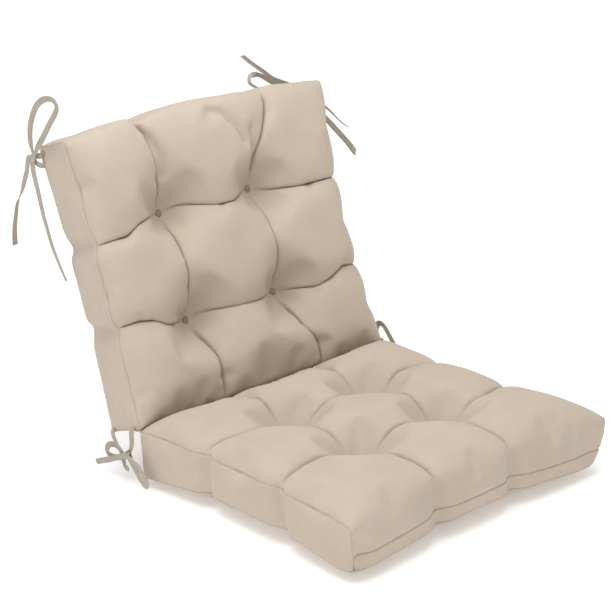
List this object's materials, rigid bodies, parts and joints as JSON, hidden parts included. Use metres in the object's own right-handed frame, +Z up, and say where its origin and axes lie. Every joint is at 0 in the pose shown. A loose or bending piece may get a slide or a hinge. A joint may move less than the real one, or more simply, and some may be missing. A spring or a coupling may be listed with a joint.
{
  "type": "chair cushion",
  "caption": "Tufted two-section cushion for a garden chair: a seat pad and a back pad joined by a fold seam, with covered buttons and tie tapes in bows at the corners.",
  "frame": {"origin": "middle of the seat pad's underside, in the plane of what it lies on", "axes": "+Z up; X across the width; the seat's front looks towards -Y and the back pad leans back at +Y"},
  "size_m": [0.6226, 0.7761, 0.6085],
  "materials": {
    "cover_fabric": "matt plain-woven polyester in sand beige",
    "button_cover": "the same cloth pulled tight over a button form",
    "polyester_filling": "loose white polyester fibre",
    "tuft_twine": "waxed polyester twine",
    "tie_tape": "matt folded tape of the cover cloth"
  },
  "bodies": {
    "seat": {"seat_top_panel": "cover_fabric", "seat_bottom_panel": "cover_fabric", "seat_front_band": "cover_fabric", "seat_rear_panel": "cover_fabric", "seat_left_boxing": "cover_fabric", "seat_right_boxing": "cover_fabric", "seat_filling": "polyester_filling", "seat_top_button_1": "button_cover", "seat_top_button_2": "button_cover", "seat_top_button_3": "button_cover", "seat_top_button_4": "button_cover", "seat_under_button_1": "button_cover", "seat_under_button_2": "button_cover", "seat_under_button_3": "button_cover", "seat_under_button_4": "button_cover", "seat_tuft_twine_1": "tuft_twine", "seat_tuft_twine_2": "tuft_twine", "seat_tuft_twine_3": "tuft_twine", "seat_tuft_twine_4": "tuft_twine", "fold_seam": "cover_fabric"},
    "back": {"back_front_panel": "cover_fabric", "back_rear_panel": "cover_fabric", "back_top_band": "cover_fabric", "back_bottom_panel": "cover_fabric", "back_left_boxing": "cover_fabric", "back_right_boxing": "cover_fabric", "back_filling": "polyester_filling", "back_front_button_1": "button_cover", "back_front_button_2": "button_cover", "back_front_button_3": "button_cover", "back_front_button_4": "button_cover", "back_rear_button_1": "button_cover", "back_rear_button_2": "button_cover", "back_rear_button_3": "button_cover", "back_rear_button_4": "button_cover", "back_tuft_twine_1": "tuft_twine", "back_tuft_twine_2": "tuft_twine", "back_tuft_twine_3": "tuft_twine", "back_tuft_twine_4": "tuft_twine", "tie_top_left_1": "tie_tape", "tie_top_left_2": "tie_tape", "tie_top_right_1": "tie_tape", "tie_top_right_2": "tie_tape", "tie_fold_left_1": "tie_tape", "tie_fold_left_2": "tie_tape", "tie_fold_right_1": "tie_tape", "tie_fold_right_2": "tie_tape"}
  },
  "joints": [
    {"name": "back_fold", "type": "hinge", "parent": "seat", "child": "back", "pos_m": [0, 0.25, 0.09], "axis": [1, 0, 0], "range_deg": [-74.5, 70]}
  ]
}
